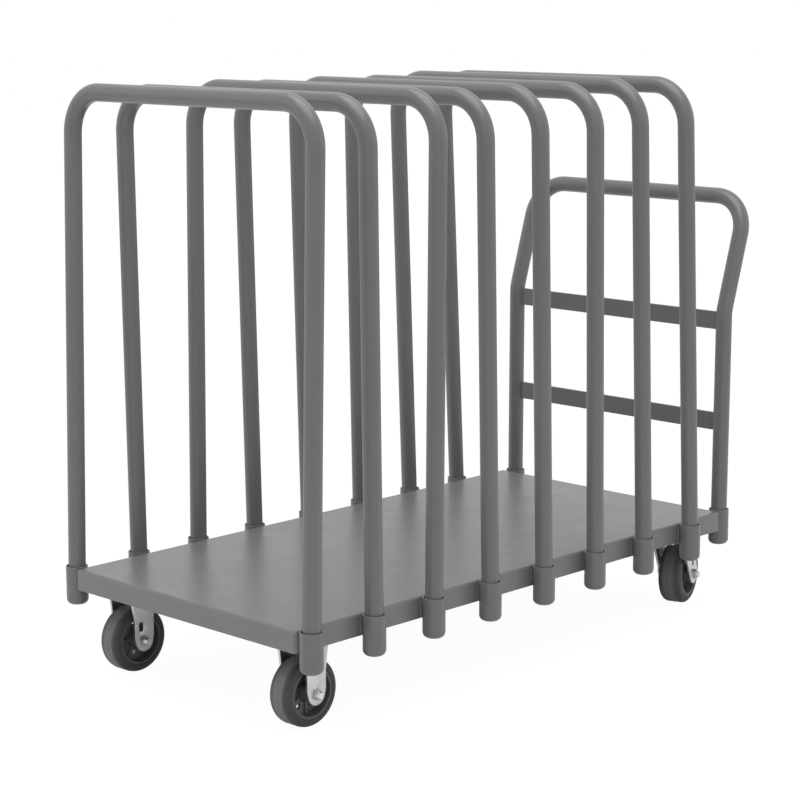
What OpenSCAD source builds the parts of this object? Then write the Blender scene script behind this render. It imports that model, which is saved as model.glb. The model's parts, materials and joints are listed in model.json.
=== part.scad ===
// Sheet cart for wallboard: a steel platform on four casters, with pipe hoops that
// stand in sockets along its sides and a push handle in sockets at its rear end.
// Millimetres. +X runs to the handle end, +Z is up, and the floor is at z = 0.

/* [Deck] */
// Length of the deck, front edge to rear edge
deck_length = 1219.2; // [900:0.1:1600]
// Width of the deck between its side edges
deck_width = 609.6; // [500:0.1:800]
// Thickness of the deck's sheet
deck_sheet = 2.7; // [1.5:0.1:5]
// Depth of the turned-down edge, from the deck's top
flange_depth = 40; // [34:0.5:60]
// Inside radius of the edge's bend
edge_inner_radius = 2.3; // [1:0.1:6]

/* [Underframe] */
// Width of a caster channel, along the cart
channel_width = 132; // [125:1:160]
// Height of the channels, web to deck
channel_height = 33.3; // [28:0.1:50]
// Thickness of a caster channel's sheet
channel_sheet = 4; // [2:0.5:6]
// Width of a deck stiffener
stiffener_width = 50; // [30:1:90]
// Thickness of a stiffener's sheet
stiffener_sheet = 3; // [1.5:0.1:5]
// Distance of each stiffener from the middle of the deck
stiffener_offset = 150; // [60:1:200]
// Inside radius of the channels' bends
channel_bend = 3; // [1:0.5:6]

/* [Pipe] */
// Outside diameter of the hoops' pipe
pipe_od = 33.4; // [25:0.1:42]
// Wall of the pipe
pipe_wall = 2.8; // [1.5:0.1:4]
// Centre-line radius of the pipe's bends
bend_radius = 76.2; // [50:0.1:120]

/* [Dividers] */
// Height of a divider's top above the deck
divider_height = 914.4; // [500:0.1:1200]
// Distance of the first divider behind the deck's front edge
divider_inset = 18.5; // [10:0.1:60]

/* [Sockets] */
// Room round the pipe in its socket, on the radius
socket_play = 1.85; // [0.5:0.05:3]
// Wall of a socket
socket_wall = 2.55; // [2:0.05:5]
// Length of a socket, rim to bottom
socket_length = 75.2; // [50:0.1:110]
// Height of the rim above the deck's top
socket_rise = 1; // [0:0.5:8]
// Thickness of a socket's floor
socket_floor = 6; // [6:0.5:10]
// Rounding of a socket's bottom edge
socket_corner = 10.5; // [4:0.5:11]
// Radius of a weld bead beside a socket
weld_radius = 4; // [3:0.5:7]

/* [Handle] */
// Height of the handle's top above the deck
handle_height = 668; // [580:1:900]
// Height above the deck at which the handle's legs bend back
handle_bend_height = 420; // [300:1:480]
// Angle of the handle's upper part from its legs
handle_angle = 17; // [5:0.5:30]
// Distance of the handle's legs inside the deck's sides
handle_inset = 19.2; // [10:0.1:80]
// Height of a crossbar
crossbar_height = 37; // [20:0.5:50]
// Thickness of a crossbar
crossbar_sheet = 6.4; // [4:0.1:12]
// Drop of the upper crossbar's top below the bend
crossbar_drop = 2; // [0:0.5:60]
// Height of the lower crossbar's middle above the deck
lower_crossbar_height = 186; // [80:1:260]

/* [Wheels] */
// Diameter of a wheel
wheel_diameter = 127; // [100:1:160]
// Width of a wheel
wheel_width = 50.8; // [40:0.1:56]
// Depth of the tyre, tread to core
tyre_depth = 15; // [12:0.5:18]
// Rounding of the tyre's edges
tyre_round = 11; // [4:0.5:11.5]
// Depth of the rim of the wheel's core
rim_depth = 6; // [4:0.5:12]
// Radius of the wheel's hub
hub_radius = 18; // [15:0.5:22]
// Thickness of the web between hub and rim
web_sheet = 8; // [4:0.5:14]
// Number of holes and of ribs round the web
web_holes = 6; // [3:1:8]
// Radius of a web hole
web_hole_radius = 5; // [2:0.5:6]
// Wall of the plain bearing in the hub
bearing_wall = 2.5; // [1.5:0.1:4]
// Outside radius of the sleeve that the bearing turns on
sleeve_radius = 9.5; // [8:0.1:11]
// Running clearance between bearing and sleeve, on the radius
running_gap = 0.05; // [0.02:0.01:0.1]

/* [Casters] */
// Room from the top of a wheel to the caster's mounting face
wheel_headroom = 38; // [36:0.5:60]
// Distance of the rigid casters' middles from the deck's front end
front_caster_inset = 80; // [75:0.5:140]
// Distance of the swivel casters' middles from the deck's rear end
rear_caster_inset = 75; // [75:0.5:140]
// Distance of the casters' middles from the deck's sides
side_caster_inset = 67.2; // [62:0.1:160]
// Length of a mounting plate, along the cart
plate_length = 114; // [106:1:120]
// Width of a mounting plate
plate_width = 102; // [96:1:110]
// Thickness of a mounting plate
plate_sheet = 5; // [4:0.5:8]
// Thickness of a fork's sheet
fork_sheet = 5; // [3:0.5:7]
// Room between a wheel and each fork leg
fork_room = 5.1; // [1.5:0.1:8]
// Width of a fork leg at its top
fork_top_width = 60; // [50:0.5:66]
// Width of a rigid fork's leg from its waist to its shoulders
fork_leg_width = 45; // [42:0.5:50]
// Height of a rigid fork's waist above the axle
fork_waist_height = 40; // [30:0.5:60]
// Height of a rigid fork's shoulders above the axle
fork_shoulder_height = 8; // [4:0.5:20]
// Radius of a fork leg's rounded end
fork_end_radius = 20; // [16:0.5:22]
// Width of the slot in a fork leg
fork_slot_width = 10; // [6:0.5:14]
// Distance between the centres of the slot's round ends
fork_slot_straight = 8.5; // [1:0.5:12]
// Height of the slot's middle above the axle
fork_slot_height = 29; // [26:0.5:36]
// Distance of the slot's middle ahead of the axle
fork_slot_shift = 8; // [0:0.5:10]
// Radius of an axle bolt
axle_radius = 6.35; // [5:0.05:7]
// Distance of a swivel wheel's axle behind its kingpin
swivel_offset = 42; // [30:0.5:46]
// Turn of the right swivel caster
right_swivel_angle = 17.3; // [-180:0.1:180]
// Turn of the left swivel caster
left_swivel_angle = 7; // [-180:0.1:180]
// Turn of the front left wheel on its axle
front_left_wheel_turn = 30; // [0:1:360]
// Turn of the front right wheel on its axle
front_right_wheel_turn = 0; // [0:1:360]
// Turn of the rear left wheel on its axle
rear_left_wheel_turn = 10; // [0:1:360]
// Turn of the rear right wheel on its axle
rear_right_wheel_turn = 30; // [0:1:360]
// Radius of a kingpin
kingpin_radius = 8; // [6:0.5:9]
// Radius of a swivel ball
ball_radius = 4; // [3:0.1:4.5]
// Radius of the ring that the balls run in
race_radius = 27; // [25:0.5:28]
// Number of balls in a ring
ball_count = 18; // [10:1:18]
// Radius of a caster bolt
bolt_radius = 4.75; // [4:0.05:5]
// Distance between caster bolts along the cart
bolt_spacing_x = 90; // [86:0.5:94]
// Distance between caster bolts across the cart
bolt_spacing_y = 76; // [74:0.5:80]

/* [Hidden] */
$fn = 64;

// Finishes
paint = "dimgray";
deck_paint = "gray";
zinc = "silver";
rubber = "#2b2b2d";
core_black = "#1d1d1f";
bronze = "peru";

// Clearances: overrun of cuts, gap at a seat, gap at a weld, gap of a press fit, room round a bolt
overrun = 5;
seat_gap = 0.2;
weld_gap = 0.05;
press_gap = 0.02;
bolt_room = 0.4;

// Heights
caster_height = wheel_diameter + wheel_headroom;
deck_top = caster_height + channel_height + deck_sheet;
deck_underside = deck_top - deck_sheet;
axle_height = wheel_diameter / 2;
edge_outer_radius = edge_inner_radius + deck_sheet;

// Sockets: the lean that their play allows is twice the play over the depth of pipe that they hold
socket_bore_radius = pipe_od / 2 + socket_play;
socket_radius = socket_bore_radius + socket_wall;
socket_rim = deck_top + socket_rise;
socket_bottom = socket_rim - socket_length;
socket_seat = socket_bottom + socket_floor;
socket_depth = socket_rim - socket_seat;
socket_middle = (socket_rim + socket_seat) / 2;
lean_limit = atan(2 * socket_play / socket_depth);
weld_place_share = 0.45;

// Lean of each divider and of the handle, as a share of that limit, as they happen to stand
divider_lean_shares = [0.49, -0.17, 0.28, -0.36, -0.43, -0.31, -0.68, -0.87];
handle_lean_share = 0.16;
handle_lean = lean_limit * handle_lean_share;

// How much taller than meant each divider came out of the bender, as a share of the pipe's diameter
divider_bend_shares = [0.06, -0.11, -0.01, -0.15, -0.10, -0.17, -0.04, -0.13];

// Pipe bends: their swelling on the radius, and how far straight pipe laps into them
bend_swell = 0.05;
bend_lap = 1;

// Hoops: leg places across the cart, and rises from the foot of a leg to the middle of the top pipe
divider_half_span = deck_width / 2 + seat_gap + socket_radius;
divider_rise = deck_top + divider_height - pipe_od / 2 - socket_seat;
handle_half_span = deck_width / 2 - handle_inset;
handle_bend_rise = deck_top + handle_bend_height - socket_seat;
handle_tangent = bend_radius * tan(handle_angle / 2);
handle_slant = (handle_height - pipe_od / 2 - handle_bend_height) / cos(handle_angle);
upper_crossbar_rise = handle_bend_rise - crossbar_drop - crossbar_height / 2;
lower_crossbar_rise = deck_top + lower_crossbar_height - socket_seat;

// Places along the cart, with the origin midway between the foremost socket and the handle's top.
// The dividers divide the run from the first socket to the handle's sockets evenly.
divider_count = len(divider_lean_shares);
handle_from_front = deck_length + seat_gap + socket_radius;
handle_reach = handle_slant * sin(handle_angle + handle_lean)
    + (handle_bend_rise - (socket_middle - socket_seat)) * sin(handle_lean) + pipe_od / 2;
front_overhang = max(0, socket_radius - divider_inset);
front_x = (front_overhang - handle_from_front - handle_reach) / 2;
rear_x = front_x + deck_length;
handle_x = front_x + handle_from_front;
first_divider_x = front_x + divider_inset;
divider_pitch = (handle_x - first_divider_x) / divider_count;
front_caster_x = front_x + front_caster_inset;
rear_caster_x = rear_x - rear_caster_inset;
caster_y = deck_width / 2 - side_caster_inset;

// Forks
fork_gap = wheel_width + 2 * fork_room;
fork_half_width = fork_gap / 2 + fork_sheet;
fork_bend = 4;
plate_corner = 9;
axle_hole_radius = axle_radius + bolt_room;
plate_underside = caster_height - plate_sheet;

// Swivel: a groove in the plate's boss and one in the crown's boss hold the balls
ball_gap = 0.1;
groove_radius = ball_radius + ball_gap;
ball_height = plate_underside - ball_radius;
boss_gap_share = 0.4;
boss_gap = ball_radius * boss_gap_share;
plate_boss_face = ball_height + boss_gap;
crown_boss_face = ball_height - boss_gap;
crown_top = ball_height - ball_radius;
crown_underside = crown_top - fork_sheet;
boss_half_width = 6;
crown_lip = 2;
crown_lip_gap = 0.8;
crown_radius = race_radius + boss_half_width + 2 * crown_lip;
kingpin_head_radius = 12;
kingpin_head_height = 3;
kingpin_nut_radius = 13;
kingpin_nut_height = 9;
kingpin_end = 2;
thrust_gap = 0.3;
washer_radius = 14.5;
washer_sheet = 2;

// Wheel: the core's rim is set a little inside the tyre, and the hub fills most of the fork's gap
rim_radius = wheel_diameter / 2 - tyre_depth;
rim_set = 0.8;
hub_end_play = 0.8;
hub_length = fork_gap - 2 * hub_end_play;
bearing_bore_radius = sleeve_radius + running_gap;
bearing_radius = bearing_bore_radius + bearing_wall;
recess_radius = rim_radius - rim_depth;
web_ring_radius = (hub_radius + recess_radius) / 2;
rib_sheet = 4;
rib_set = 17;

// Fasteners: radii are across corners
axle_head_radius = 10.4;
axle_head_height = 8;
axle_nut_height = 8;
axle_end = 3;
bolt_head_radius = 8.2;
bolt_head_height = 6.4;
bolt_nut_height = 8;
bolt_end = 4;
hex_sides = 6;

// Carries a profile drawn across the cart along X, or one drawn along the cart along Y
module along_x(length) {
    rotate([90, 0, 90])
        linear_extrude(length, center = true)
            children();
}

module along_y(length) {
    rotate([90, 0, 0])
        linear_extrude(length, center = true)
            children();
}

// Rectangle on the X axis with its two upper corners rounded
module top_rounded(width, height, radius) {
    translate([-width / 2, 0])
        square([width, height - radius]);
    translate([radius - width / 2, 0])
        square([width - 2 * radius, height]);
    intersection() {
        for (side = [-1, 1])
            translate([side * (width / 2 - radius), height - radius])
                circle(radius);
        translate([-width / 2, 0])
            square([width, height]);
    }
}

module rounded_rectangle(width, height, radius) {
    square([width, height - 2 * radius], center = true);
    square([width - 2 * radius, height], center = true);
    for (x = [-1, 1], y = [-1, 1])
        translate([x * (width / 2 - radius), y * (height / 2 - radius)])
            circle(radius);
}

// Pressed channel section, open at the bottom, with its web on top
module channel_section(width, height, sheet, bend) {
    difference() {
        top_rounded(width, height, bend + sheet);
        translate([0, -overrun])
            top_rounded(width - 2 * sheet, height - sheet + overrun, bend);
    }
}

module hexagon(radius, height) {
    cylinder(r = radius, h = height, $fn = hex_sides);
}

// Deck pan

module pan_block(length, width, depth, radius) {
    intersection() {
        along_x(length)
            top_rounded(width, depth, radius);
        along_y(width)
            top_rounded(length, depth, radius);
    }
}

module deck_pan() {
    color(deck_paint)
        translate([(front_x + rear_x) / 2, 0, deck_top - flange_depth])
            difference() {
                pan_block(deck_length, deck_width, flange_depth, edge_outer_radius);
                translate([0, 0, -overrun])
                    pan_block(deck_length - 2 * deck_sheet, deck_width - 2 * deck_sheet,
                        flange_depth - deck_sheet + overrun, edge_inner_radius);
            }
}

// Underframe

module bolt_places() {
    for (x = [-1, 1], y = [-1, 1])
        translate([x * bolt_spacing_x / 2, y * bolt_spacing_y / 2, 0])
            children();
}

module caster_channel(x) {
    color(paint)
        translate([x, 0, caster_height])
            difference() {
                translate([0, 0, channel_height])
                    mirror([0, 0, 1])
                        along_y(deck_width - 2 * (deck_sheet + edge_inner_radius + seat_gap))
                            channel_section(channel_width, channel_height, channel_sheet, channel_bend);
                for (side = [-1, 1])
                    translate([0, side * caster_y, -overrun])
                        bolt_places()
                            cylinder(r = bolt_radius + bolt_room, h = channel_sheet + 2 * overrun);
            }
}

module deck_stiffeners() {
    start = front_caster_x + channel_width / 2;
    end = rear_caster_x - channel_width / 2;
    color(paint)
        for (side = [-1, 1])
            translate([(start + end) / 2, side * stiffener_offset, deck_underside])
                mirror([0, 0, 1])
                    along_x(end - start)
                        channel_section(stiffener_width, channel_height, stiffener_sheet, channel_bend);
}

// Sockets and their welds. A socket stands with the deck's edge behind it at +Y.

module socket() {
    rotate_extrude()
        difference() {
            union() {
                translate([0, socket_corner])
                    square([socket_radius, socket_length - socket_corner]);
                square([socket_radius - socket_corner, socket_corner]);
                translate([socket_radius - socket_corner, socket_corner])
                    circle(socket_corner);
            }
            translate([-overrun, socket_floor])
                square([socket_bore_radius + overrun, socket_length]);
        }
}

module weld_pair() {
    linear_extrude(flange_depth - edge_outer_radius - weld_radius / 2)
        for (side = [-1, 1])
            difference() {
                translate([side * socket_radius * weld_place_share, 0])
                    circle(weld_radius);
                translate([-socket_radius - weld_radius, 0])
                    square([2 * (socket_radius + weld_radius), weld_radius + overrun]);
                translate([0, -seat_gap - socket_radius])
                    circle(socket_radius + weld_gap);
            }
}

module divider_socket_row(side) {
    for (i = [0 : divider_count - 1])
        translate([first_divider_x + i * divider_pitch, side * divider_half_span, socket_bottom])
            socket();
}

module left_divider_sockets() {
    color(paint)
        divider_socket_row(1);
}

module right_divider_sockets() {
    color(paint)
        divider_socket_row(-1);
}

module handle_sockets() {
    color(paint)
        for (side = [-1, 1])
            translate([handle_x, side * handle_half_span, socket_bottom])
                socket();
}

module socket_welds() {
    foot = deck_top - flange_depth + weld_radius / 2;
    color(paint) {
        for (side = [-1, 1], i = [0 : divider_count - 1])
            translate([first_divider_x + i * divider_pitch, side * deck_width / 2, foot])
                rotate([0, 0, side > 0 ? 180 : 0])
                    weld_pair();
        for (side = [-1, 1])
            translate([rear_x, side * handle_half_span, foot])
                rotate([0, 0, 90])
                    weld_pair();
    }
}

// Pipe hoops, drawn with the feet of their legs at z = 0. The pipe's radius is given, so that the
// same run makes the outside and the bore. A bend swells a little, and the straight pipe laps into it.

module pipe_bend(angle, radius) {
    rotate_extrude(angle = angle)
        translate([bend_radius, 0])
            circle(radius + bend_swell);
}

module hoop_run(half_span, leg_start, rise, radius) {
    spring = rise - bend_radius;
    bar_half = half_span - bend_radius;
    for (side = [0, 1])
        mirror([0, side, 0]) {
            translate([0, half_span, leg_start])
                cylinder(r = radius, h = spring - leg_start + bend_lap);
            translate([0, bar_half, spring])
                rotate([90, 0, 90])
                    pipe_bend(90, radius);
        }
    translate([0, 0, rise])
        rotate([90, 0, 0])
            cylinder(r = radius, h = 2 * (bar_half + bend_lap), center = true);
}

module handle_run(foot, radius) {
    bend_start = handle_bend_rise - handle_tangent;
    for (side = [-1, 1])
        translate([0, side * handle_half_span, 0]) {
            translate([0, 0, foot])
                cylinder(r = radius, h = bend_start - foot + bend_lap);
            translate([bend_radius, 0, bend_start])
                rotate([90, 0, 0])
                    rotate([0, 0, 180 - handle_angle])
                        pipe_bend(handle_angle, radius);
        }
    translate([0, 0, handle_bend_rise])
        rotate([0, handle_angle, 0])
            hoop_run(handle_half_span, handle_tangent - bend_lap, handle_slant, radius);
}

// Stands a hoop in its sockets at a lean: it pivots at the middle of the sockets' depth, and its
// feet are lifted until their lowest edge just clears the sockets' floors
module leaning(x, lean) {
    foot_drop = (socket_middle - socket_seat - seat_gap - pipe_od / 2 * sin(abs(lean))) / cos(lean);
    translate([x, 0, socket_middle])
        rotate([0, lean, 0])
            translate([0, 0, -foot_drop])
                children();
}

module divider(i) {
    rise = divider_rise + pipe_od * divider_bend_shares[i];
    color(paint)
        leaning(first_divider_x + i * divider_pitch, lean_limit * divider_lean_shares[i])
            difference() {
                hoop_run(divider_half_span, 0, rise, pipe_od / 2);
                hoop_run(divider_half_span, -overrun, rise, pipe_od / 2 - pipe_wall);
            }
}

module handle_pipe() {
    color(paint)
        leaning(handle_x, handle_lean)
            difference() {
                handle_run(0, pipe_od / 2);
                handle_run(-overrun, pipe_od / 2 - pipe_wall);
            }
}

// Flat bar between the handle's legs, its ends coped to their round
module handle_crossbar(rise) {
    color(paint)
        leaning(handle_x, handle_lean)
            translate([0, 0, rise])
                difference() {
                    cube([crossbar_sheet, 2 * handle_half_span, crossbar_height], center = true);
                    for (side = [-1, 1])
                        translate([0, side * handle_half_span, 0])
                            cylinder(r = pipe_od / 2 + weld_gap, h = crossbar_height + overrun,
                                center = true);
                }
}

// Casters, drawn with the middle of the mounting plate on the Z axis and the floor at z = 0

module at_caster(x, side, turn = 0) {
    translate([x, side * caster_y, 0])
        rotate([0, 0, turn])
            children();
}

module mounting_plate() {
    translate([0, 0, plate_underside])
        difference() {
            linear_extrude(plate_sheet)
                rounded_rectangle(plate_length, plate_width, plate_corner);
            translate([0, 0, -overrun])
                bolt_places()
                    cylinder(r = bolt_radius + bolt_room, h = plate_sheet + 2 * overrun);
        }
}

// Angle on a round end at which a line from a point touches it, on the side that turn picks
function touch_angle(point, centre, radius, turn) =
    let (away = point - centre)
    atan2(away[1], away[0]) + turn * acos(radius / norm(away));

function touch_point(point, centre, radius, turn) =
    let (angle = touch_angle(point, centre, radius, turn))
    centre + radius * [cos(angle), sin(angle)];

// Side view of a fork leg: its front edge is given from the top down and its rear edge from the foot
// up, and both run tangent to a round end at the axle
module leg_outline(axle, front, rear) {
    polygon(concat(
        front,
        [
            touch_point(front[len(front) - 1], axle, fork_end_radius, 1),
            axle,
            touch_point(rear[0], axle, fork_end_radius, -1)
        ],
        rear
    ));
    translate(axle)
        circle(fork_end_radius);
}

// A rigid fork's leg narrows to its waist and runs on at that width to its shoulders
module rigid_leg(top) {
    waist = axle_height + fork_waist_height;
    shoulder = axle_height + fork_shoulder_height;
    leg_outline([0, axle_height],
        [[-fork_top_width / 2, top], [-fork_leg_width / 2, waist], [-fork_leg_width / 2, shoulder]],
        [[fork_leg_width / 2, shoulder], [fork_leg_width / 2, waist], [fork_top_width / 2, top]]);
}

// A swivel fork's leg slants back from the crown to the axle
module swivel_leg(top) {
    leg_outline([swivel_offset, axle_height], [[-fork_top_width / 2, top]], [[fork_top_width / 2, top]]);
}

module leg_slot() {
    square([fork_slot_width, fork_slot_straight], center = true);
    for (end = [-1, 1])
        translate([0, end * fork_slot_straight / 2])
            circle(fork_slot_width / 2);
}

// Pressed yoke: a channel section cut to the leg's side view that is given as its child, with axle
// holes, and with a slot in the leg on each of the sides that are named
module yoke(axle_x, top, slot_sides) {
    width = 2 * fork_half_width;
    reach = 2 * (swivel_offset + fork_top_width);
    difference() {
        intersection() {
            along_x(reach)
                channel_section(width, top, fork_sheet, fork_bend);
            along_y(width)
                children();
        }
        along_y(width + overrun)
            translate([axle_x, axle_height])
                circle(axle_hole_radius);
        for (side = slot_sides)
            translate([axle_x - fork_slot_shift, side * (fork_gap + fork_sheet) / 2, axle_height])
                along_y(2 * fork_sheet)
                    translate([0, fork_slot_height])
                        leg_slot();
    }
}

// A rigid fork stands with its slotted leg towards the middle of the cart
module rigid_fork(side) {
    color(zinc) {
        mounting_plate();
        yoke(0, plate_underside, [-side])
            rigid_leg(plate_underside);
    }
}

module race_groove() {
    translate([0, 0, ball_height])
        rotate_extrude()
            translate([race_radius, 0])
                circle(groove_radius);
}

module ring(outer, inner, height) {
    difference() {
        cylinder(r = outer, h = height);
        translate([0, 0, -overrun])
            cylinder(r = inner, h = height + 2 * overrun);
    }
}

module swivel_plate() {
    color(zinc)
        difference() {
            union() {
                mounting_plate();
                translate([0, 0, plate_boss_face])
                    ring(race_radius + boss_half_width, race_radius - boss_half_width,
                        plate_underside - plate_boss_face);
            }
            race_groove();
            translate([0, 0, plate_underside - overrun])
                cylinder(r = kingpin_radius + press_gap, h = plate_sheet + 2 * overrun);
            translate([0, 0, caster_height - kingpin_head_height - press_gap])
                cylinder(r = kingpin_head_radius + press_gap, h = kingpin_head_height + overrun);
        }
}

module kingpin() {
    tip = crown_underside - thrust_gap - washer_sheet - kingpin_nut_height - kingpin_end;
    color(zinc) {
        translate([0, 0, tip])
            cylinder(r = kingpin_radius, h = caster_height - tip);
        translate([0, 0, caster_height - kingpin_head_height])
            cylinder(r = kingpin_head_radius, h = kingpin_head_height);
    }
}

// Flanged nut that carries the fork's crown
module kingpin_nut() {
    washer_foot = crown_underside - thrust_gap - washer_sheet;
    color(zinc)
        difference() {
            union() {
                translate([0, 0, washer_foot])
                    cylinder(r = washer_radius, h = washer_sheet);
                translate([0, 0, washer_foot - kingpin_nut_height])
                    hexagon(kingpin_nut_radius, kingpin_nut_height);
            }
            translate([0, 0, washer_foot - kingpin_nut_height - overrun])
                cylinder(r = kingpin_radius + press_gap, h = kingpin_nut_height + washer_sheet + 2 * overrun);
        }
}

module swivel_balls() {
    color("white")
        for (i = [0 : ball_count - 1])
            rotate([0, 0, i * 360 / ball_count])
                translate([race_radius, 0, ball_height])
                    sphere(ball_radius);
}

// Offset yoke with a round crown: a grooved boss for the balls and a lip that keeps dust out
module swivel_fork() {
    lip_top = plate_underside - crown_lip_gap;
    color(zinc)
        difference() {
            union() {
                yoke(swivel_offset, crown_top, [-1, 1])
                    swivel_leg(crown_top);
                translate([0, 0, crown_underside])
                    cylinder(r = crown_radius, h = fork_sheet);
                translate([0, 0, crown_underside])
                    ring(race_radius + boss_half_width, race_radius - boss_half_width,
                        crown_boss_face - crown_underside);
                translate([0, 0, crown_underside])
                    ring(crown_radius, crown_radius - crown_lip, lip_top - crown_underside);
            }
            race_groove();
            translate([0, 0, crown_underside - overrun])
                cylinder(r = kingpin_radius + running_gap, h = fork_sheet + 2 * overrun);
        }
}

// Carries a piece drawn upright at the origin to an axle, pointing along +Y from its middle
module on_axle(axle_x) {
    translate([axle_x, 0, axle_height])
        rotate([-90, 0, 0])
            children();
}

module axle_bolt(axle_x) {
    tip = -fork_half_width - axle_nut_height - axle_end;
    color(zinc)
        on_axle(axle_x) {
            translate([0, 0, tip])
                cylinder(r = axle_radius, h = fork_half_width - tip);
            translate([0, 0, fork_half_width])
                hexagon(axle_head_radius, axle_head_height);
        }
}

module axle_nut(axle_x) {
    color(zinc)
        on_axle(axle_x)
            translate([0, 0, -fork_half_width - axle_nut_height])
                difference() {
                    hexagon(axle_head_radius, axle_nut_height);
                    translate([0, 0, -overrun])
                        cylinder(r = axle_radius + press_gap, h = axle_nut_height + 2 * overrun);
                }
}

module axle_sleeve(axle_x) {
    color(zinc)
        on_axle(axle_x)
            translate([0, 0, -fork_gap / 2])
                ring(sleeve_radius, axle_radius + press_gap, fork_gap);
}

module tyre(axle_x) {
    color(rubber)
        on_axle(axle_x)
            rotate_extrude()
                translate([rim_radius + press_gap, 0])
                    rotate(-90)
                        top_rounded(wheel_width, tyre_depth - press_gap, tyre_round);
}

// Moulded core: rim, hub and a thin web between them with holes and stiffening ribs
module wheel_core(axle_x, wheel_turn) {
    rim_width = wheel_width - 2 * rim_set;
    rib_width = rim_width - 2 * rib_set;
    color(core_black)
        on_axle(axle_x)
            rotate([0, 0, wheel_turn])
                difference() {
                    union() {
                        translate([0, 0, -rim_width / 2])
                            ring(rim_radius, recess_radius, rim_width);
                        translate([0, 0, -hub_length / 2])
                            cylinder(r = hub_radius, h = hub_length);
                        translate([0, 0, -web_sheet / 2])
                            cylinder(r = recess_radius + press_gap, h = web_sheet);
                        for (i = [0 : web_holes - 1])
                            rotate([0, 0, (i + 1 / 2) * 360 / web_holes])
                                translate([0, -rib_sheet / 2, -rib_width / 2])
                                    cube([recess_radius + press_gap, rib_sheet, rib_width]);
                    }
                    translate([0, 0, -hub_length / 2 - overrun])
                        cylinder(r = bearing_radius + press_gap, h = hub_length + 2 * overrun);
                    for (i = [0 : web_holes - 1])
                        rotate([0, 0, i * 360 / web_holes])
                            translate([web_ring_radius, 0, -web_sheet / 2 - overrun])
                                cylinder(r = web_hole_radius, h = web_sheet + 2 * overrun);
                }
}

module bearing(axle_x) {
    color(bronze)
        on_axle(axle_x)
            translate([0, 0, -hub_length / 2])
                ring(bearing_radius, bearing_bore_radius, hub_length);
}

module every_caster() {
    for (x = [front_caster_x, rear_caster_x], side = [-1, 1])
        at_caster(x, side)
            children();
}

module caster_bolts() {
    shank = plate_sheet + channel_sheet + bolt_nut_height + bolt_end;
    color(zinc)
        every_caster()
            bolt_places()
                translate([0, 0, plate_underside]) {
                    cylinder(r = bolt_radius, h = shank);
                    translate([0, 0, -bolt_head_height])
                        hexagon(bolt_head_radius, bolt_head_height);
                }
}

module caster_nuts() {
    color(zinc)
        every_caster()
            bolt_places()
                translate([0, 0, caster_height + channel_sheet])
                    difference() {
                        hexagon(bolt_head_radius, bolt_nut_height);
                        translate([0, 0, -overrun])
                            cylinder(r = bolt_radius + press_gap, h = bolt_nut_height + 2 * overrun);
                    }
}

// One caster's pieces by name: the axle is under the plate on a rigid caster and behind it on a swivel one
module axle_piece(piece, x, side, axle_x, turn, wheel_turn) {
    at_caster(x, side, turn) {
        if (piece == "axle_bolt") axle_bolt(axle_x);
        if (piece == "axle_nut") axle_nut(axle_x);
        if (piece == "axle_sleeve") axle_sleeve(axle_x);
        if (piece == "core") wheel_core(axle_x, wheel_turn);
        if (piece == "tyre") tyre(axle_x);
        if (piece == "bearing") bearing(axle_x);
    }
}

module front_caster(piece, side) {
    wheel_turn = side > 0 ? front_left_wheel_turn : front_right_wheel_turn;
    axle_piece(piece, front_caster_x, side, 0, 0, wheel_turn);
    if (piece == "fork")
        at_caster(front_caster_x, side)
            rigid_fork(side);
}

module rear_caster(piece, side) {
    turn = side > 0 ? left_swivel_angle : right_swivel_angle;
    wheel_turn = side > 0 ? rear_left_wheel_turn : rear_right_wheel_turn;
    axle_piece(piece, rear_caster_x, side, swivel_offset, turn, wheel_turn);
    at_caster(rear_caster_x, side) {
        if (piece == "top_plate") swivel_plate();
        if (piece == "kingpin") kingpin();
        if (piece == "kingpin_nut") kingpin_nut();
    }
    at_caster(rear_caster_x, side, turn) {
        if (piece == "balls") swivel_balls();
        if (piece == "fork") swivel_fork();
    }
}

deck_pan();
caster_channel(front_caster_x);  // front_caster_channel
caster_channel(rear_caster_x);  // rear_caster_channel
deck_stiffeners();
left_divider_sockets();
right_divider_sockets();
handle_sockets();
socket_welds();
for (i = [0 : divider_count - 1])
    divider(i);
handle_pipe();
handle_crossbar(upper_crossbar_rise);  // handle_upper_crossbar
handle_crossbar(lower_crossbar_rise);  // handle_lower_crossbar
caster_bolts();
caster_nuts();
for (piece = ["fork", "axle_bolt", "axle_nut", "axle_sleeve", "core", "tyre", "bearing"]) {
    front_caster(piece, 1);
    front_caster(piece, -1);
}
for (piece = ["top_plate", "kingpin", "kingpin_nut", "balls", "fork", "axle_bolt", "axle_nut",
        "axle_sleeve", "core", "tyre", "bearing"]) {
    rear_caster(piece, 1);
    rear_caster(piece, -1);
}
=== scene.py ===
import json
import math
import random

import bmesh
import bpy
from mathutils import Matrix, Quaternion, Vector


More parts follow.
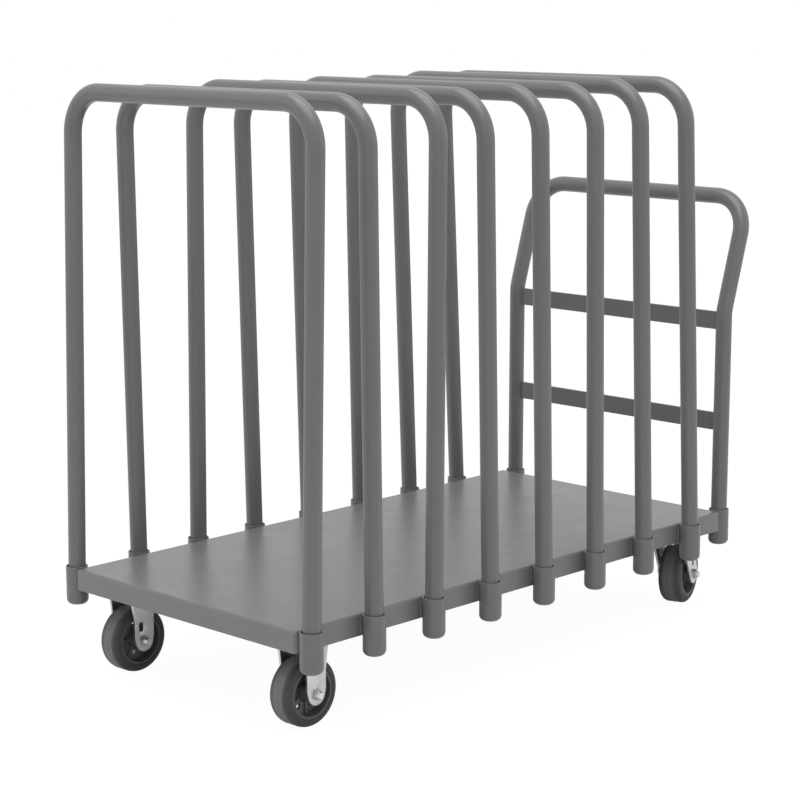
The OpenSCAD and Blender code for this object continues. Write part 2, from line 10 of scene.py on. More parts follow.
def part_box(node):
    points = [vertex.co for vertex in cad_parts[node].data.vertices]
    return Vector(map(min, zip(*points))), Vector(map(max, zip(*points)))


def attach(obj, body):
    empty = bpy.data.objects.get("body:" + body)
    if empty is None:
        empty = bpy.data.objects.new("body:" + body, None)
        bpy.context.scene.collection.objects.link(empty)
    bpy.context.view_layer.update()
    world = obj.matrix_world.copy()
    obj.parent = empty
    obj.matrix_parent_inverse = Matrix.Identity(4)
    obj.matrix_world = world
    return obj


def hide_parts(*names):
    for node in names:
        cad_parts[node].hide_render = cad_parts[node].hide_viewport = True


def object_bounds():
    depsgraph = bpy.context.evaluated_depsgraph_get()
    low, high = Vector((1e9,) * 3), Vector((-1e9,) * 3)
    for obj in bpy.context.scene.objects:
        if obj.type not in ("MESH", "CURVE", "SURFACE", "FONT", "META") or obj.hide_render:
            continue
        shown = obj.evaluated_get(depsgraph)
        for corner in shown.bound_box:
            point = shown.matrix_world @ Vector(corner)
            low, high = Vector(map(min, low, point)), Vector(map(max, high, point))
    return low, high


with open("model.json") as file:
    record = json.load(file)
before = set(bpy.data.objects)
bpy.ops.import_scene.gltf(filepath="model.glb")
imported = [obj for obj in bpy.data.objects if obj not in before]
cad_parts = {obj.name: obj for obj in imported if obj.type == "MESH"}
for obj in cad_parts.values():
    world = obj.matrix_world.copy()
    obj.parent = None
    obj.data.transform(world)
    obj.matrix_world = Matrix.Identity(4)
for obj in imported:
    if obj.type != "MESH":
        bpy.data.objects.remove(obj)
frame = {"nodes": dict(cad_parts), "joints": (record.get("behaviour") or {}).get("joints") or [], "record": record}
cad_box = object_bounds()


# Studio: a white room that lights the cart evenly, with a pale matt floor. One large soft lamp
# hangs overhead, and weak ones stand off the front left and the rear right corner. The camera is
# far back off the front right corner, a little above the hoops, as it was for the photograph.
camera_place = Vector((-3.1913, -3.0281, 1.2976))
camera_yaw, camera_dip, camera_roll = (math.radians(angle) for angle in (44.349, 10.569, 0.250))
lens_pixels, picture_pixels, film_width = 2242.99, 800, 36.0

aim = Vector((
    math.cos(camera_dip) * math.cos(camera_yaw),
    math.cos(camera_dip) * math.sin(camera_yaw),
    -math.sin(camera_dip),
))
camera = bpy.data.objects.new("camera", bpy.data.cameras.new("camera"))
camera.data.sensor_width = film_width
camera.data.lens = film_width * lens_pixels / picture_pixels
camera.location = camera_place
camera.rotation_mode = "QUATERNION"
camera.rotation_quaternion = aim.to_track_quat("-Z", "Y") @ Quaternion((0, 0, 1), -camera_roll)
bpy.context.scene.collection.objects.link(camera)
bpy.context.scene.camera = camera
bpy.context.scene.view_settings.view_transform = "Standard"


def calculated(tree, operation, first, second):
    """One sum in a node tree, of two outputs or of an output and a number"""
    sum_node = tree.nodes.new("ShaderNodeMath")
    sum_node.operation = operation
    for entry, value in zip(sum_node.inputs, (first, second)):
        if isinstance(value, (int, float)):
            entry.default_value = value
        else:
            tree.links.new(value, entry)
    return sum_node.outputs[0]


def seen_directly(tree, mirrored_share=1):
    """1 for rays from the camera, a share of it for rays off metal or through glass, else 0"""
    path = tree.nodes.new("ShaderNodeLightPath")
    turned_away = calculated(
        tree, "MAXIMUM", path.outputs["Is Glossy Ray"], path.outputs["Is Transmission Ray"])
    mirrored = calculated(tree, "MULTIPLY", turned_away, mirrored_share)
    return calculated(tree, "MAXIMUM", path.outputs["Is Camera Ray"], mirrored)


white, room_light = (1, 1, 1, 1), 0.70
room = bpy.data.worlds.new("white room")
bpy.context.scene.world = room
room.use_nodes = True
room.node_tree.nodes.clear()
shown = room.node_tree.nodes.new("ShaderNodeBackground")
shown.inputs["Color"].default_value = white
lighting = room.node_tree.nodes.new("ShaderNodeBackground")
lighting.inputs["Color"].default_value = white
lighting.inputs["Strength"].default_value = room_light
chosen = room.node_tree.nodes.new("ShaderNodeMixShader")
room_out = room.node_tree.nodes.new("ShaderNodeOutputWorld")
room.node_tree.links.new(seen_directly(room.node_tree), chosen.inputs[0])
room.node_tree.links.new(lighting.outputs[0], chosen.inputs[1])
room.node_tree.links.new(shown.outputs[0], chosen.inputs[2])
room.node_tree.links.new(chosen.outputs[0], room_out.inputs[0])

floor_half, floor_tone = 14.0, (0.92, 0.92, 0.92, 1)
floor_glow, mirrored_glow = 1.035, 0.22
shadow_share, shadow_reach, shadow_end = 0.07, 1.1, 2.6
floor_mesh = bpy.data.meshes.new("floor")
floor_sheet = bmesh.new()
bmesh.ops.create_grid(floor_sheet, x_segments=1, y_segments=1, size=floor_half)
floor_sheet.to_mesh(floor_mesh)
floor_sheet.free()
floor = bpy.data.objects.new("floor", floor_mesh)
bpy.context.scene.collection.objects.link(floor)

floor_white = bpy.data.materials.new("pale floor")
floor_white.use_nodes = True
floor_tree = floor_white.node_tree
floor_tree.nodes.clear()
matt = floor_tree.nodes.new("ShaderNodeBsdfDiffuse")
matt.inputs["Color"].default_value = floor_tone
glow = floor_tree.nodes.new("ShaderNodeEmission")
glow.inputs["Color"].default_value = white
glow.inputs["Strength"].default_value = floor_glow
floor_spot = floor_tree.nodes.new("ShaderNodeTexCoord")
away = floor_tree.nodes.new("ShaderNodeVectorMath")
away.operation = "LENGTH"
floor_tree.links.new(floor_spot.outputs["Object"], away.inputs[0])
fade = floor_tree.nodes.new("ShaderNodeMapRange")
fade.interpolation_type = "SMOOTHSTEP"
fade.inputs["From Min"].default_value = shadow_reach
fade.inputs["From Max"].default_value = shadow_end
fade.inputs["To Min"].default_value = 1 - shadow_share
fade.inputs["To Max"].default_value = 1
floor_tree.links.new(away.outputs["Value"], fade.inputs["Value"])
floor_mix = floor_tree.nodes.new("ShaderNodeMixShader")
floor_out = floor_tree.nodes.new("ShaderNodeOutputMaterial")
shown_share = calculated(
    floor_tree, "MULTIPLY", seen_directly(floor_tree, mirrored_glow), fade.outputs["Result"])
floor_tree.links.new(shown_share, floor_mix.inputs[0])
floor_tree.links.new(matt.outputs[0], floor_mix.inputs[1])
floor_tree.links.new(glow.outputs[0], floor_mix.inputs[2])
floor_tree.links.new(floor_mix.outputs[0], floor_out.inputs[0])
floor_mesh.materials.append(floor_white)

overhead_place, overhead_size, overhead_power = (-0.6, -0.4, 4.2), 3.6, 116
front_place, front_size, front_power = (-3.4, 2.7, 1.9), 2.6, 9
right_place, right_size, right_power = (3.4, -3.6, 1.6), 2.2, 9
cart_middle = (cad_box[0] + cad_box[1]) / 2


def soft_light(name, place, size, power):
    """A square panel lamp that faces the cart"""
    lamp = bpy.data.lights.new(name, "AREA")
    lamp.shape = "SQUARE"
    lamp.size = size
    lamp.energy = power
    holder = bpy.data.objects.new(name, lamp)
    holder.location = place
    holder.rotation_mode = "QUATERNION"
    holder.rotation_quaternion = (cart_middle - Vector(place)).to_track_quat("-Z", "Y")
    bpy.context.scene.collection.objects.link(holder)


soft_light("overhead_light", overhead_place, overhead_size, overhead_power)
soft_light("front_light", front_place, front_size, front_power)
soft_light("right_light", right_place, right_size, right_power)


# Deck: one sheet of mild steel, folded down along all four edges. Its corners are welded and
# ground round, and it is sprayed a mid grey that dries to a satin gloss with a faint orange peel.
deck_sheet, deck_fold, deck_corner, deck_margin = 0.0027, 0.005, 0.007, 0.001
fold_steps, downward, flat_share = 6, -0.5, 0.9999
sharp_angle = math.radians(40)
# The deck's grey is set lighter than the frame's, as painted light for the light that falls on its top.
deck_lit_grey, deck_gloss = 0.152, 0.34
noise_low, noise_high = 0.3, 0.7
drift_waves, drift_detail, tone_drift = 7.0, 5.0, 0.025
gloss_waves, gloss_detail, gloss_drift = 23.0, 3.0, 0.025
peel_waves, peel_detail, peel_height, peel_strength = 420.0, 2.0, 0.0001, 0.2
deck_low, deck_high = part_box("deck_pan")


def cloud(tree, waves, detail):
    """Noise through a piece, at so many waves to the metre"""
    where = tree.nodes.new("ShaderNodeTexCoord")
    noise = tree.nodes.new("ShaderNodeTexNoise")
    noise.inputs["Scale"].default_value = waves
    noise.inputs["Detail"].default_value = detail
    tree.links.new(where.outputs["Object"], noise.inputs["Vector"])
    return noise.outputs["Fac"]


def mottled(tree, pattern, dark, light):
    """A colour that wanders between two tones with a pattern"""
    ramp = tree.nodes.new("ShaderNodeValToRGB")
    stops = ramp.color_ramp.elements
    for stop, position, tone in zip(stops, (noise_low, noise_high), (dark, light)):
        stop.position = position
        stop.color = (*tone, 1)
    tree.links.new(pattern, ramp.inputs["Fac"])
    return ramp.outputs["Color"]


def spread(tree, pattern, low, high):
    """A number that wanders between low and high with a pattern"""
    stretch = tree.nodes.new("ShaderNodeMapRange")
    stretch.inputs["From Min"].default_value = noise_low
    stretch.inputs["From Max"].default_value = noise_high
    stretch.inputs["To Min"].default_value = low
    stretch.inputs["To Max"].default_value = high
    tree.links.new(pattern, stretch.inputs["Value"])
    return stretch.outputs["Result"]


def roughen(tree, shader, pattern, height, strength):
    """Raises a pattern in a surface by so many metres"""
    bump = tree.nodes.new("ShaderNodeBump")
    bump.inputs["Strength"].default_value = strength
    bump.inputs["Distance"].default_value = height
    tree.links.new(pattern, bump.inputs["Height"])
    tree.links.new(bump.outputs["Normal"], shader.inputs["Normal"])


def satin_paint(name, grey, gloss):
    """Sprayed satin enamel: slow drifts of tone and gloss, and a fine orange peel"""
    paint = bpy.data.materials.new(name)
    paint.use_nodes = True
    tree = paint.node_tree
    shader = tree.nodes["Principled BSDF"]
    dark, light = ([grey * (1 + sign * tone_drift)] * 3 for sign in (-1, 1))
    tone = mottled(tree, cloud(tree, drift_waves, drift_detail), dark, light)
    tree.links.new(tone, shader.inputs["Base Color"])
    dullness = cloud(tree, gloss_waves, gloss_detail)
    roughness = spread(tree, dullness, gloss - gloss_drift, gloss + gloss_drift)
    tree.links.new(roughness, shader.inputs["Roughness"])
    roughen(tree, shader, cloud(tree, peel_waves, peel_detail), peel_height, peel_strength)
    return paint


def keep_piece(name, shape, body, finish, slot, *stands_for):
    """Makes a shape a piece that rides on a body, in place of the CAD nodes it stands for"""
    mesh = bpy.data.meshes.new(name)
    shape.to_mesh(mesh)
    shape.free()
    mesh.materials.append(finish)
    mesh.shade_smooth()
    mesh.set_sharp_from_angle(angle=sharp_angle)
    piece = bpy.data.objects.new(name, mesh)
    bpy.context.scene.collection.objects.link(piece)
    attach(piece, body)
    if stands_for:
        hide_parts(*stands_for)


deck_paint = satin_paint("deck paint", deck_lit_grey, deck_gloss)
pan = bmesh.new()
pan_space = Matrix.LocRotScale((deck_low + deck_high) / 2, None, deck_high - deck_low)
bmesh.ops.create_cube(pan, size=1, matrix=pan_space)
uprights = [edge for edge in pan.edges if abs(edge.verts[0].co.z - edge.verts[1].co.z) > deck_sheet]
bmesh.ops.bevel(pan, geom=uprights, offset=deck_corner, affect="EDGES", segments=fold_steps,
                profile=0.5, material=-1)
rim = [edge for edge in pan.edges
       if min(point.co.z for point in edge.verts) > deck_high.z - deck_sheet]
bmesh.ops.bevel(pan, geom=rim, offset=deck_fold, affect="EDGES", segments=fold_steps,
                profile=0.5, material=-1)
open_side = [face for face in pan.faces if face.normal.z < downward]
bmesh.ops.delete(pan, geom=open_side, context="FACES_ONLY")
flats = [face for face in pan.faces if max(abs(part) for part in face.normal) > flat_share]
bmesh.ops.inset_individual(pan, faces=flats, thickness=deck_margin)
bmesh.ops.recalc_face_normals(pan, faces=pan.faces)
bmesh.ops.solidify(pan, geom=pan.faces[:], thickness=deck_sheet)
keep_piece("folded_deck", pan, "cart", deck_paint, "deck_paint", "deck_pan")


# Underframe: two pressed steel channels that carry the casters and two stiffeners between them,
# all welded under the deck and sprayed as the pipes are. The deck's lighter grey is painted light.
frame_grey, frame_gloss = 0.127, 0.30
nodes = frame["nodes"]


def finish_with(material, *names):
    """Gives CAD pieces their finish"""
    for name in names:
        nodes[name].data.materials.clear()
        nodes[name].data.materials.append(material)


frame_paint = satin_paint("frame paint", frame_grey, frame_gloss)
finish_with(frame_paint, "front_caster_channel", "rear_caster_channel", "deck_stiffeners")


# Sockets: short lengths of larger pipe with pressed round bottoms and filed rims, welded to
# the deck's turned-down edges. The legs of the hoops drop into them with a little room.
socket_bore, socket_floor, socket_corner, socket_lip = 0.01855, 0.006, 0.0105, 0.0011
socket_steps, rounding_steps, sockets_in_row, merge_gap = 56, 5, 8, 1e-6
socket_low, socket_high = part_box("right_divider_sockets")
socket_radius = (socket_high.y - socket_low.y) / 2
socket_length = socket_high.z - socket_low.z


def turned(profile, steps):
    """A shape spun about the Z axis, from corners of (radius, height, rounding)"""
    shape = bmesh.new()
    corners = [shape.verts.new((radius, 0, height)) for radius, height, rounding in profile]
    for pair in zip(corners, corners[1:]):
        shape.edges.new(pair)
    for corner, (radius, height, rounding) in zip(corners, profile):
        if rounding:
            bmesh.ops.bevel(shape, geom=[corner], offset=rounding, affect="VERTICES",
                            segments=rounding_steps, profile=0.5, material=-1)
    bmesh.ops.spin(shape, geom=shape.verts[:] + shape.edges[:], cent=(0, 0, 0), axis=(0, 0, 1),
                   angle=math.tau, steps=steps, use_merge=True)
    bmesh.ops.remove_doubles(shape, verts=shape.verts, dist=merge_gap)
    bmesh.ops.recalc_face_normals(shape, faces=shape.faces)
    return shape


def set_at(whole, part, places):
    """Copies one shape into a whole at each of its places"""
    stamp = bpy.data.meshes.new("stamp")
    part.to_mesh(stamp)
    part.free()
    for place in places:
        moved = stamp.copy()
        moved.transform(place)
        whole.from_mesh(moved)
        bpy.data.meshes.remove(moved)
    bpy.data.meshes.remove(stamp)


def socket():
    """One socket, standing on its round bottom at the origin"""
    return turned((
        (0, 0, 0),
        (socket_radius, 0, socket_corner),
        (socket_radius, socket_length, socket_lip),
        (socket_bore, socket_length, socket_lip),
        (socket_bore, socket_floor, 0),
        (0, socket_floor, 0),
    ), socket_steps)


socket_places = {}
for node in ("left_divider_sockets", "right_divider_sockets"):
    low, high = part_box(node)
    pitch = (high.x - low.x - 2 * socket_radius) / (sockets_in_row - 1)
    socket_places[node] = [
        Vector((low.x + socket_radius + number * pitch, (low.y + high.y) / 2, low.z))
        for number in range(sockets_in_row)]
low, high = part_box("handle_sockets")
socket_places["handle_sockets"] = [
    Vector(((low.x + high.x) / 2, y, low.z)) for y in (low.y + socket_radius, high.y - socket_radius)]
for node, places in socket_places.items():
    row = bmesh.new()
    set_at(row, socket(), [Matrix.Translation(place) for place in places])
    keep_piece(node.replace("sockets", "socket_row"), row, "cart", frame_paint, "frame_paint", node)


# Socket welds: a bead laid up each side of a socket where it meets the deck's edge, left as
# welded, with the ripples of the torch, and painted over.
weld_radius, weld_pitch, weld_steps, weld_droop, weld_toe = 0.004, 0.0030, 12, 0.3, 1.55
weld_spread = 0.45 * socket_radius
ripple_least, ripple_most, end_share = 0.92, 1.0, 0.8
ripple_shape, torch_seed = ((0.85, 0.05), (1, 0.45), (0.95, 0.85)), 11
weld_low, weld_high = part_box("socket_welds")
torch = random.Random(torch_seed)


def weld_bead(length, radius):
    """A weld up the Z axis: overlapping ripples of uneven size that droop to one side"""
    ripples = round(length / weld_pitch)
    rise = length / ripples
    profile = [(0, 0, 0)]
    for ripple in range(ripples):
        reach = radius * torch.uniform(ripple_least, ripple_most)
        if ripple in (0, ripples - 1):
            reach *= end_share
        profile += [(reach * share, (ripple + level) * rise, 0) for share, level in ripple_shape]
    profile.append((0, length, 0))
    bead = turned(profile, weld_steps)
    for point in bead.verts:
        point.co.z += weld_droop * point.co.y
    return bead


welds = bmesh.new()
for node, places in socket_places.items():
    for place in places:
        for step in (-weld_spread, weld_spread):
            if node == "handle_sockets":
                foot = Vector((deck_high.x, place.y + step, weld_low.z))
                spread_out = Matrix.Scale(weld_toe, 4, (0, 1, 0))
            else:
                foot = Vector((place.x + step, math.copysign(deck_high.y, place.y), weld_low.z))
                spread_out = Matrix.Scale(weld_toe, 4, (1, 0, 0))
            turn = Matrix.Rotation(torch.uniform(0, math.tau), 4, "Z")
            bead = weld_bead(weld_high.z - weld_low.z, weld_radius)
            set_at(welds, bead, [Matrix.Translation(foot) @ spread_out @ turn])
keep_piece("socket_weld_beads", welds, "cart", frame_paint, "frame_paint", "socket_welds")


# Dividers: eight hoops of one-inch steel pipe, bent cold and painted. They stand loose in
# their sockets, so each leans its own way.
finish_with(frame_paint, *["divider_%d" % number for number in range(1, sockets_in_row + 1)])


# Push handle: a bent hoop of the same pipe with two flat steel bars welded between its legs, all
# painted as the dividers are. The bars' ends fit the pipe, and have a small bead down each face.
bar_weld_radius, pipe_radius = 0.0026, 0.0167
crossbars = ("handle_upper_crossbar", "handle_lower_crossbar")
joints = {joint["name"]: joint for joint in frame["joints"]}
leg_axis = Vector(joints["push_handle_lift"]["axis"])
leg_turn = Vector((0, 0, 1)).rotation_difference(leg_axis).to_matrix().to_4x4()
leg_half_span = socket_places["handle_sockets"][1].y
finish_with(frame_paint, "handle_pipe", *crossbars)
bar_welds = bmesh.new()
for bar in crossbars:
    low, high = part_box(bar)
    middle = (low + high) / 2
    bar_height = high.z - low.z
    bar_half_sheet = (high.x - low.x - bar_height * leg_axis.x) / 2
    reach = leg_half_span - math.sqrt(pipe_radius ** 2 - bar_half_sheet ** 2)
    for face in (-1, 1):
        for end in (-1, 1):
            joint_middle = middle + Vector((face * bar_half_sheet, end * reach, 0))
            foot = joint_middle - leg_axis * bar_height / 2
            bead = weld_bead(bar_height, bar_weld_radius)
            set_at(bar_welds, bead, [Matrix.Translation(foot) @ leg_turn])
keep_piece("crossbar_weld_beads", bar_welds, "push_handle", frame_paint, "frame_paint")


# Casters: pressed steel forks and plates, bright zinc plated, with edges that the press and
# the plating barrel have rolled over a little.
press_edge, edge_steps, level_angle = 0.0007, 2, math.radians(1)
zinc_tint, zinc_gloss = (0.59, 0.59, 0.59), (0.30, 0.42)
steel_tint, steel_gloss = (0.62, 0.62, 0.62), (0.12, 0.2)
plate_waves, plate_detail, plate_shares = 55.0, 4.0, (0.93, 1.05)
shine_waves, shine_detail = 90.0, 3.0
grain_waves, grain_detail, grain_height, grain_strength = 260.0, 3.0, 0.0001, 0.12
casters = [end + "_" + side for end in ("front", "rear") for side in ("left", "right")]
swivel_casters = casters[2:]


def plated(name, tint, gloss):
    """Plated metal with faint clouds in its tone and gloss"""
    metal = bpy.data.materials.new(name)
    metal.use_nodes = True
    tree = metal.node_tree
    shader = tree.nodes["Principled BSDF"]
    shader.inputs["Metallic"].default_value = 1.0
    dark, light = ([channel * share for channel in tint] for share in plate_shares)
    tone = mottled(tree, cloud(tree, plate_waves, plate_detail), dark, light)
    tree.links.new(tone, shader.inputs["Base Color"])
    roughness = spread(tree, cloud(tree, shine_waves, shine_detail), *gloss)
    tree.links.new(roughness, shader.inputs["Roughness"])
    roughen(tree, shader, cloud(tree, grain_waves, grain_detail), grain_height, grain_strength)
    return metal


def softened(node, radius):
    """A copy of a CAD piece with its sharp outer edges rolled over"""
    shape = bmesh.new()
    shape.from_mesh(nodes[node].data)
    bmesh.ops.remove_doubles(shape, verts=shape.verts, dist=merge_gap)
    bmesh.ops.dissolve_limit(shape, angle_limit=level_angle, verts=shape.verts, edges=shape.edges)
    sharp = [edge for edge in shape.edges
             if edge.is_manifold and edge.is_convex and edge.calc_face_angle() > sharp_angle]
    bmesh.ops.bevel(shape, geom=sharp, offset=radius, affect="EDGES", segments=edge_steps,
                    profile=0.5, material=-1, clamp_overlap=True)
    return shape


body_of = {}
for body, members in frame["record"]["behaviour"]["bodies"].items():
    for node in members:
        body_of[node] = body

zinc = plated("zinc plate", zinc_tint, zinc_gloss)
steel = plated("ball steel", steel_tint, steel_gloss)
for caster in casters:
    fork = caster + "_fork"
    shape = softened(fork, press_edge)
    keep_piece(caster + "_pressed_fork", shape, body_of[fork], zinc, "zinc_plate", fork)
    finish_with(zinc, caster + "_axle_sleeve")
for caster in swivel_casters:
    plate = caster + "_top_plate"
    shape = softened(plate, press_edge)
    keep_piece(caster + "_swivel_plate", shape, body_of[plate], zinc, "zinc_plate", plate)
    finish_with(zinc, caster + "_kingpin", caster + "_kingpin_nut")
    finish_with(steel, caster + "_balls")


# Axle bolts and nuts: turned hex bolts of plated steel that run through fork and wheel, with lock
# nuts whose round collars grip the thread. Heads and nuts have their corners turned off.
fork_half_width, axle_radius, axle_hex = 0.0355, 0.00635, 0.0104
axle_head_height, axle_nut_height, axle_collar, axle_end = 0.008, 0.008, 0.0022, 0.003
axle_length = 2 * fork_half_width + axle_nut_height + axle_end
thread_pitch, thread_depth, thread_length, thread_steps = 0.0018, 0.0008, 0.014, 24
hex_steps, hex_round, hex_chamfer = 48, 0.95, math.tan(math.radians(30))
collar_rings, wrench_seed = ((0.88, 1), (0.86, 0.35), (0.78, 0)), 5
bright_tint, bright_gloss = (0.70, 0.70, 0.70), (0.14, 0.24)
nut_tint, nut_gloss = (0.46, 0.46, 0.46), (0.20, 0.32)
wrench = random.Random(wrench_seed)


def drawn_on(shape, ring, reshape):
    """Draws a ring of edges on to a new ring, whose points reshape places, and returns it"""
    fresh = bmesh.ops.extrude_edge_only(shape, edges=ring)["geom"]
    points = {item for item in fresh if isinstance(item, bmesh.types.BMVert)}
    for point in points:
        point.co = reshape(point.co)
    edges = [item for item in fresh if isinstance(item, bmesh.types.BMEdge)]
    return [edge for edge in edges if points.issuperset(edge.verts)]


def hex_reach(point, flat):
    """How far a hexagon reaches towards a point from its middle"""
    turn = math.atan2(point.y, point.x) % (math.pi / 3) - math.pi / 6
    return flat / math.cos(turn)


def hex_head(radius, height, collar=0, hole=0):
    """A hex head on the XY plane, its outer corners turned off, or a lock nut with collar and hole"""
    flat = radius * math.cos(math.pi / 6)
    top = height - collar
    shape = bmesh.new()
    bmesh.ops.create_circle(shape, cap_ends=False, radius=radius, segments=hex_steps)
    for point in shape.verts:
        point.co = point.co.normalized() * hex_reach(point.co, flat)
    foot = shape.edges[:]

    def circle(reach, level):
        return lambda point: Vector((point.x, point.y, 0)).normalized() * reach + Vector((0, 0, level))

    def shoulder(point):
        reach = hex_reach(point, flat)
        return Vector((point.x, point.y, top - (reach - flat * hex_round) * hex_chamfer))

    ring = drawn_on(shape, foot, shoulder)
    ring = drawn_on(shape, ring, circle(flat * hex_round, top))
    if collar:
        for share, depth in collar_rings:
            ring = drawn_on(shape, ring, circle(flat * share, height - collar * depth))
    if hole:
        ring = drawn_on(shape, ring, circle(hole, height))
        ring = drawn_on(shape, ring, circle(hole, 0))
        bmesh.ops.bridge_loops(shape, edges=foot + ring)
    else:
        bmesh.ops.contextual_create(shape, geom=ring)
        bmesh.ops.contextual_create(shape, geom=foot)
    bmesh.ops.recalc_face_normals(shape, faces=shape.faces)
    return shape


def threaded(radius, length, thread):
    """A shank up the Z axis with a thread cut on its upper end"""
    profile = [(0, 0, 0), (radius, 0, 0), (radius, length - thread, 0)]
    root = radius - thread_depth
    for number in range(int(thread / thread_pitch)):
        level = length - thread + number * thread_pitch
        profile += [(root, level + thread_pitch / 2, 0), (radius, level + thread_pitch, 0)]
    profile += [(root, length, 0), (radius / 2, length, 0), (0, length - thread_depth, 0)]
    return turned(profile, thread_steps)


def facing(place, way, turn=0):
    """Stands a shape at a place with its Z axis the given way, turned about that axis"""
    return (Matrix.Translation(place) @ way.to_track_quat("Z", "Y").to_matrix().to_4x4()
            @ Matrix.Rotation(turn, 4, "Z"))


def axle_of(caster):
    """The middle of a caster's axle, and the way its bolt head faces"""
    joint = joints[caster + "_wheel_spin"]
    return Vector(joint["pos_m"]), Vector(joint["axis"]).normalized()


bright_zinc = plated("bright zinc", bright_tint, bright_gloss)
nut_zinc = plated("nut zinc", nut_tint, nut_gloss)
for caster in casters:
    axle, along = axle_of(caster)
    bolt_face, nut_face = axle + along * fork_half_width, axle - along * fork_half_width
    bolt, nut = caster + "_axle_bolt", caster + "_axle_nut"
    shape = bmesh.new()
    head = hex_head(axle_hex, axle_head_height)
    set_at(shape, head, [facing(bolt_face, along, wrench.uniform(0, 1))])
    shank = threaded(axle_radius, axle_length, thread_length)
    set_at(shape, shank, [facing(bolt_face, -along)])
    keep_piece(bolt.replace("bolt", "hex_bolt"), shape, body_of[bolt], bright_zinc, "zinc_plate", bolt)
    shape = bmesh.new()
    lock_nut = hex_head(axle_hex, axle_nut_height, axle_collar, axle_radius)
    set_at(shape, lock_nut, [facing(nut_face, -along, wrench.uniform(0, 1))])
    keep_piece(nut.replace("nut", "lock_nut"), shape, body_of[nut], nut_zinc, "zinc_plate", nut)


# Caster bolts: four plated hex bolts up through each mounting plate and the channel above it,
# with nuts inside the channel.
bolt_radius, bolt_hex, bolt_head_height, bolt_thread = 0.00475, 0.0082, 0.0064, 0.012
bolt_step_x, bolt_step_y = 0.045, 0.038
bolt_low, bolt_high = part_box("caster_bolts")
bolt_length = bolt_high.z - bolt_low.z - bolt_head_height
heads, shanks = [], []
for caster in casters:
    plate = caster + ("_top_plate" if caster in swivel_casters else "_fork")
    low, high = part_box(plate)
    for x in (-bolt_step_x, bolt_step_x):
        for y in (-bolt_step_y, bolt_step_y):
            bolt_x, bolt_y = (low.x + high.x) / 2 + x, (low.y + high.y) / 2 + y
            seat = Vector((bolt_x, bolt_y, bolt_low.z + bolt_head_height))
            heads.append(facing(seat, Vector((0, 0, -1)), wrench.uniform(0, 1)))
            shanks.append(Matrix.Translation(seat))
plate_bolts = bmesh.new()
set_at(plate_bolts, hex_head(bolt_hex, bolt_head_height), heads)
set_at(plate_bolts, threaded(bolt_radius, bolt_length, bolt_thread), shanks)
keep_piece("caster_hex_bolts", plate_bolts, "cart", bright_zinc, "zinc_plate", "caster_bolts")
finish_with(zinc, "caster_nuts")


# Wheels: black rubber tyres moulded on to dark ribbed cores that turn on plain bronze bearings.
# The treads are scuffed paler than the sidewalls, which carry two moulded rings. Deep in the
# cores the black is painted paler, as painted light that lifts the shade of the recess.
tyre_bore, tyre_half_width, tyre_shoulder, tyre_steps = 0.04852, 0.0254, 0.011, 96
bore_ring = ((0, 0.0012), (0.0008, 0.0002), (0.0018, 0), (0.0030, 0.0002), (0.0036, 0.0008))
wall_drop, shoulder_shares = 0.0008, (0, 0.14, 0.28, 0.42, 0.56, 0.70, 0.84, 1)
ridge_top, ridge_foot, tread_drop, seam_half = 0.0016, 0.0024, 0.0003, 0.0008
scuff_start, scuff_fade, clean_ring = 0.008, 0.009, 0.008
# The cores are painted paler the deeper a point lies in the recess, over this depth: painted light that lifts the
# shade there.
core_edge, rim_half_width, core_painted_light_depth = 0.0008, 0.0246, 0.010
rubber_greys, scuffed_greys, rubber_rough = (0.030, 0.040), (0.12, 0.14), 0.55
# The second pair of core greys is painted light, used deep in the recess to lift its shade.
core_greys, core_painted_light_greys, core_rough = (0.062, 0.072), (0.10, 0.12), 0.45
bronze_tint, bronze_gloss = (0.50, 0.33, 0.15), (0.30, 0.42)
black_waves, black_detail, wear_and_light_waves, wear_and_light_detail = 90.0, 4.0, 140.0, 5.0
dull_waves, dull_detail, rough_drift = 60.0, 3.0, 0.06
pore_waves, pore_detail, pore_height, pore_strength = 500.0, 3.0, 0.0002, 0.25
# This layer carries real wear on the tyre treads and painted light deep in the wheel cores.
wear_and_light_layer, first_colour, second_colour, blended_colour = "wear_and_painted_light", 6, 7, 2


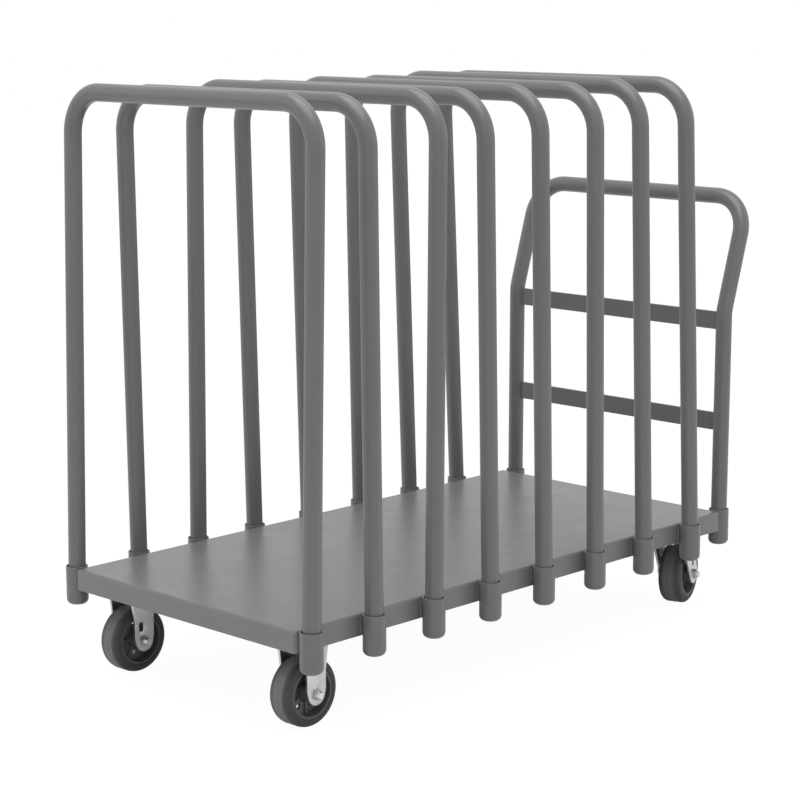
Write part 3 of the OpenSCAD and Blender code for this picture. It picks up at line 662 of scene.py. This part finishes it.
def moulded(name, greys, worn_and_lit_greys, rough):
    """Moulded rubber or plastic, a little uneven, paler on worn treads and with painted light in recesses"""
    black = bpy.data.materials.new(name)
    black.use_nodes = True
    tree = black.node_tree
    shader = tree.nodes["Principled BSDF"]
    fresh, worn_and_lit = ([[grey] * 3 for grey in pair] for pair in (greys, worn_and_lit_greys))
    wear_and_light = tree.nodes.new("ShaderNodeAttribute")
    wear_and_light.attribute_name = wear_and_light_layer
    blend = tree.nodes.new("ShaderNodeMix")
    blend.data_type = "RGBA"
    tree.links.new(wear_and_light.outputs["Fac"], blend.inputs[0])
    fresh_tone = mottled(tree, cloud(tree, black_waves, black_detail), *fresh)
    tree.links.new(fresh_tone, blend.inputs[first_colour])
    worn_and_lit_tone = mottled(tree, cloud(tree, wear_and_light_waves, wear_and_light_detail), *worn_and_lit)
    tree.links.new(worn_and_lit_tone, blend.inputs[second_colour])
    tree.links.new(blend.outputs[blended_colour], shader.inputs["Base Color"])
    dullness = cloud(tree, dull_waves, dull_detail)
    roughness = spread(tree, dullness, rough - rough_drift, rough + rough_drift)
    tree.links.new(roughness, shader.inputs["Roughness"])
    roughen(tree, shader, cloud(tree, pore_waves, pore_detail), pore_height, pore_strength)
    return black


def tyre(bore, radius, half_width):
    """A tyre about the Z axis: ringed sidewalls, round shoulders, and a tread with a mould seam"""
    tread = radius - tread_drop
    side = [(bore + out, half_width - inward, 0) for out, inward in bore_ring]
    for share in shoulder_shares:
        angle = share * math.pi / 2
        side.append((
            tread - tyre_shoulder + tyre_shoulder * math.sin(angle),
            half_width - wall_drop - tyre_shoulder + tyre_shoulder * math.cos(angle),
            0,
        ))
    side += [
        (radius, half_width - tyre_shoulder - ridge_top, 0),
        (tread, half_width - tyre_shoulder - ridge_foot, 0),
        (tread, half_width - scuff_start - scuff_fade, 0),
        (tread, seam_half, 0),
        (radius, 0, 0),
    ]
    other = [(reach, -level, 0) for reach, level, rounding in reversed(side[:-1])]
    shape = turned(side + other + side[:1], tyre_steps)
    wear_and_light = shape.verts.layers.float.new(wear_and_light_layer)
    for point in shape.verts:
        inward = (half_width - scuff_start - abs(point.co.z)) / scuff_fade
        outside = math.hypot(point.co.x, point.co.y) > bore + clean_ring
        point[wear_and_light] = max(0, min(1, inward)) if outside else 0
    return shape


rubber = moulded("tyre rubber", rubber_greys, scuffed_greys, rubber_rough)
core_black = moulded("core black", core_greys, core_painted_light_greys, core_rough)
bronze = plated("bearing bronze", bronze_tint, bronze_gloss)
for caster in casters:
    axle, along = axle_of(caster)
    node = caster + "_tyre"
    reach = axle.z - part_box(node)[0].z
    shape = bmesh.new()
    set_at(shape, tyre(tyre_bore, reach, tyre_half_width), [facing(axle, along)])
    keep_piece(caster + "_moulded_tyre", shape, body_of[node], rubber, "tyre_rubber", node)
    node = caster + "_core"
    shape = softened(node, core_edge)
    # Painted light: the core is painted paler towards its middle plane, deep in the recess where shade falls.
    core_painted_light = shape.verts.layers.float.new(wear_and_light_layer)
    for point in shape.verts:
        depth = rim_half_width - abs((point.co - axle).dot(along))
        point[core_painted_light] = max(0, min(1, depth / core_painted_light_depth))
    keep_piece(caster + "_moulded_core", shape, body_of[node], core_black, "core_black", node)
    finish_with(bronze, caster + "_bearing")
